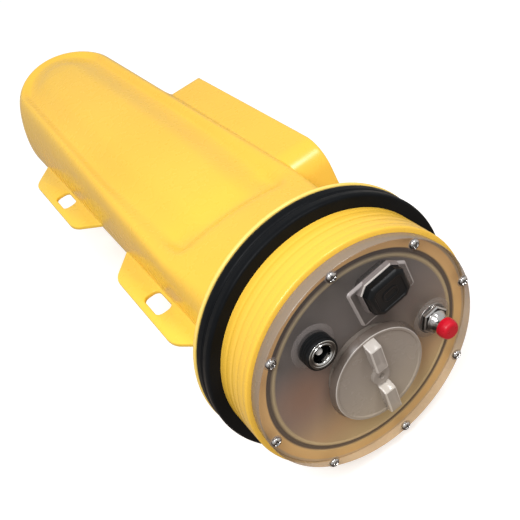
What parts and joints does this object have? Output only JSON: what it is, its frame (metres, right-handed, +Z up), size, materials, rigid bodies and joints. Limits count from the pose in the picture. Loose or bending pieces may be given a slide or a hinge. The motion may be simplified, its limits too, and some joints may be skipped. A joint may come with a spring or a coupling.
{
  "type": "gps net buoy",
  "caption": "Long moulded net-tracking buoy pod with strap ears and a side block; threaded round head with a rubber ring and a clear end plate holding a twist cap, charge socket and switch.",
  "frame": {"origin": "middle of the box in plan, on the floor the pod lies on", "axes": "+X along the pod towards the round head, +Y towards the side block, +Z up out of the long panel"},
  "size_m": [0.3846, 0.12, 0.1205],
  "materials": {
    "yellow_plastic": "fine satin moulded",
    "black_rubber": "satin",
    "gasket_rubber": "matt",
    "clear_plastic": "frosted clear moulding",
    "black_plastic": "semi-gloss",
    "nickel": "bright",
    "chrome": "bright",
    "red_plastic": "gloss",
    "pack_wrap": "shrink wrap"
  },
  "bodies": {
    "pod": {"housing": "yellow_plastic", "side_block": "yellow_plastic", "head_flange": "yellow_plastic", "head_collar": "yellow_plastic", "strap_ear_tail": "yellow_plastic", "strap_ear_head": "yellow_plastic", "seal_ring": "black_rubber", "end_plate": "clear_plastic", "plate_gasket": "gasket_rubber", "charge_socket": "black_plastic", "socket_rim": "nickel", "socket_pin": "nickel", "port_shell": "black_plastic", "switch_bushing": "chrome", "switch_cap": "red_plastic", "battery_pack": "pack_wrap"},
    "twist_cap": {"battery_cap": "clear_plastic"},
    "dust_plug": {"port_plug": "black_plastic"}
  },
  "joints": [
    {"name": "battery_cap_turn", "type": "hinge", "parent": "pod", "child": "twist_cap", "pos_m": [0.1803, -0.0005, 0.0539], "axis": [1, 0, 0], "range_deg": [0, 90]},
    {"name": "port_plug_pull", "type": "slide", "parent": "pod", "child": "dust_plug", "axis": [1, 0, 0], "range_m": [0, 0.018]}
  ]
}
